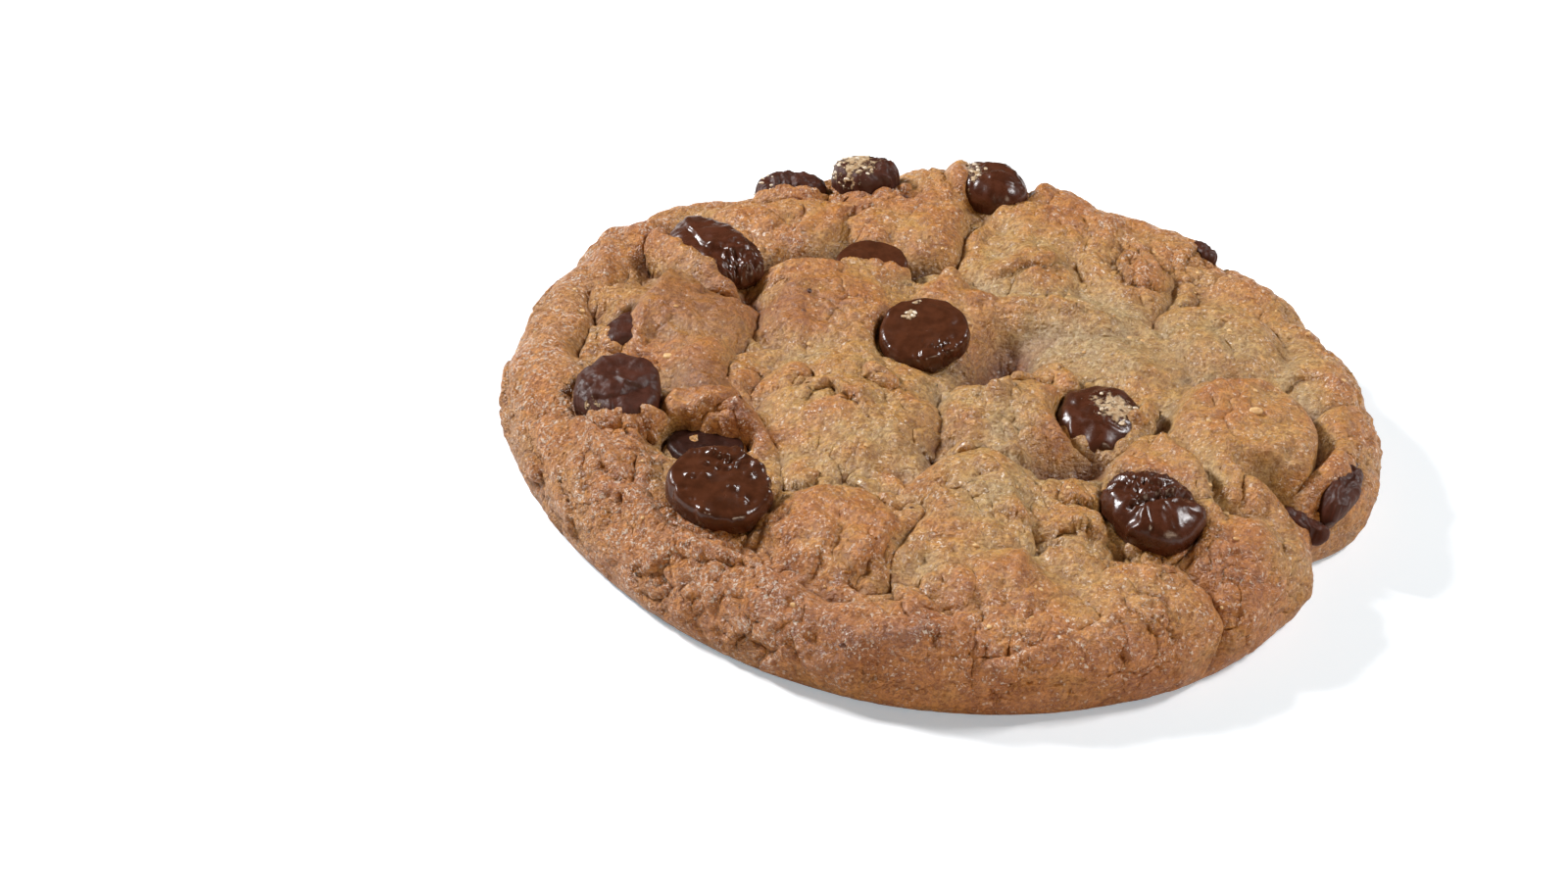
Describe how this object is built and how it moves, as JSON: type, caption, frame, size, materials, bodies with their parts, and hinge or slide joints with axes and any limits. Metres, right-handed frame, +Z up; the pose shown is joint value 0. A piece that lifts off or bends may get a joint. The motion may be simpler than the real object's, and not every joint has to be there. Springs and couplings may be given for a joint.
{
  "type": "chocolate chip cookie",
  "caption": "Thick soft-baked round cookie with a lumpy golden top, a browned rolled rim and dark chocolate chips sunk into the dough.",
  "frame": {"origin": "middle of the flat base, on the surface that the cookie rests on", "axes": "+Z up out of the top; -Y towards the viewer of the picture, +X to the viewer's right"},
  "size_m": [0.1012, 0.1018, 0.0145],
  "materials": {
    "dough": "baked cookie dough, matte to satin",
    "chocolate": "dark chocolate, glossy where it has melted"
  },
  "bodies": {
    "root": {"dough": "dough", "chip_centre": "chocolate", "chip_front_left": "chocolate", "chip_front_right": "chocolate", "chip_left": "chocolate", "chip_upper_left": "chocolate", "chip_crease": "chocolate", "chip_back_left": "chocolate", "chip_back": "chocolate", "chip_back_right": "chocolate", "chip_left_sliver": "chocolate", "chip_front_left_deep": "chocolate", "chip_right": "chocolate", "chip_rim_right": "chocolate", "chip_rim_notch": "chocolate", "chip_rim_back_right": "chocolate"}
  },
  "joints": []
}
